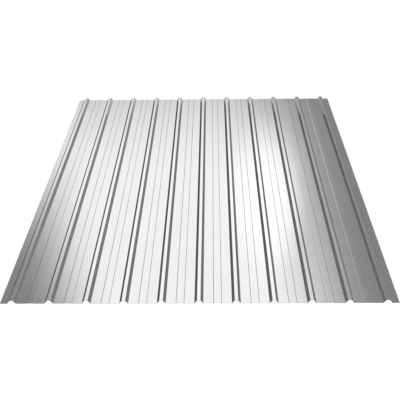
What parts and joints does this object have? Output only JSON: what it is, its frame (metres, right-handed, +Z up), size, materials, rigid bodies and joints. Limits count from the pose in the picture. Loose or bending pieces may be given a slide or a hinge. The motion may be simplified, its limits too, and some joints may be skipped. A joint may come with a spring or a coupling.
{
  "type": "corrugated metal sheet",
  "caption": "Trapezoidal profiled steel sheet for roofs and walls: narrow raised ribs with flat pans, each pan stiffened by a low step",
  "frame": {"origin": "under the middle of the sheet, on the surface that the pans lie on", "axes": "+X across the ribs, +Y along the ribs, +Z up, out of the side that the ribs rise from"},
  "size_m": [1.062, 1.35, 0.0105],
  "materials": {
    "galvanised_steel": "bright zinc-coated steel, smooth satin, with faint lines drawn along the ribs by the forming rolls"
  },
  "bodies": {
    "root": {"profiled_sheet": "galvanised_steel"}
  },
  "joints": []
}
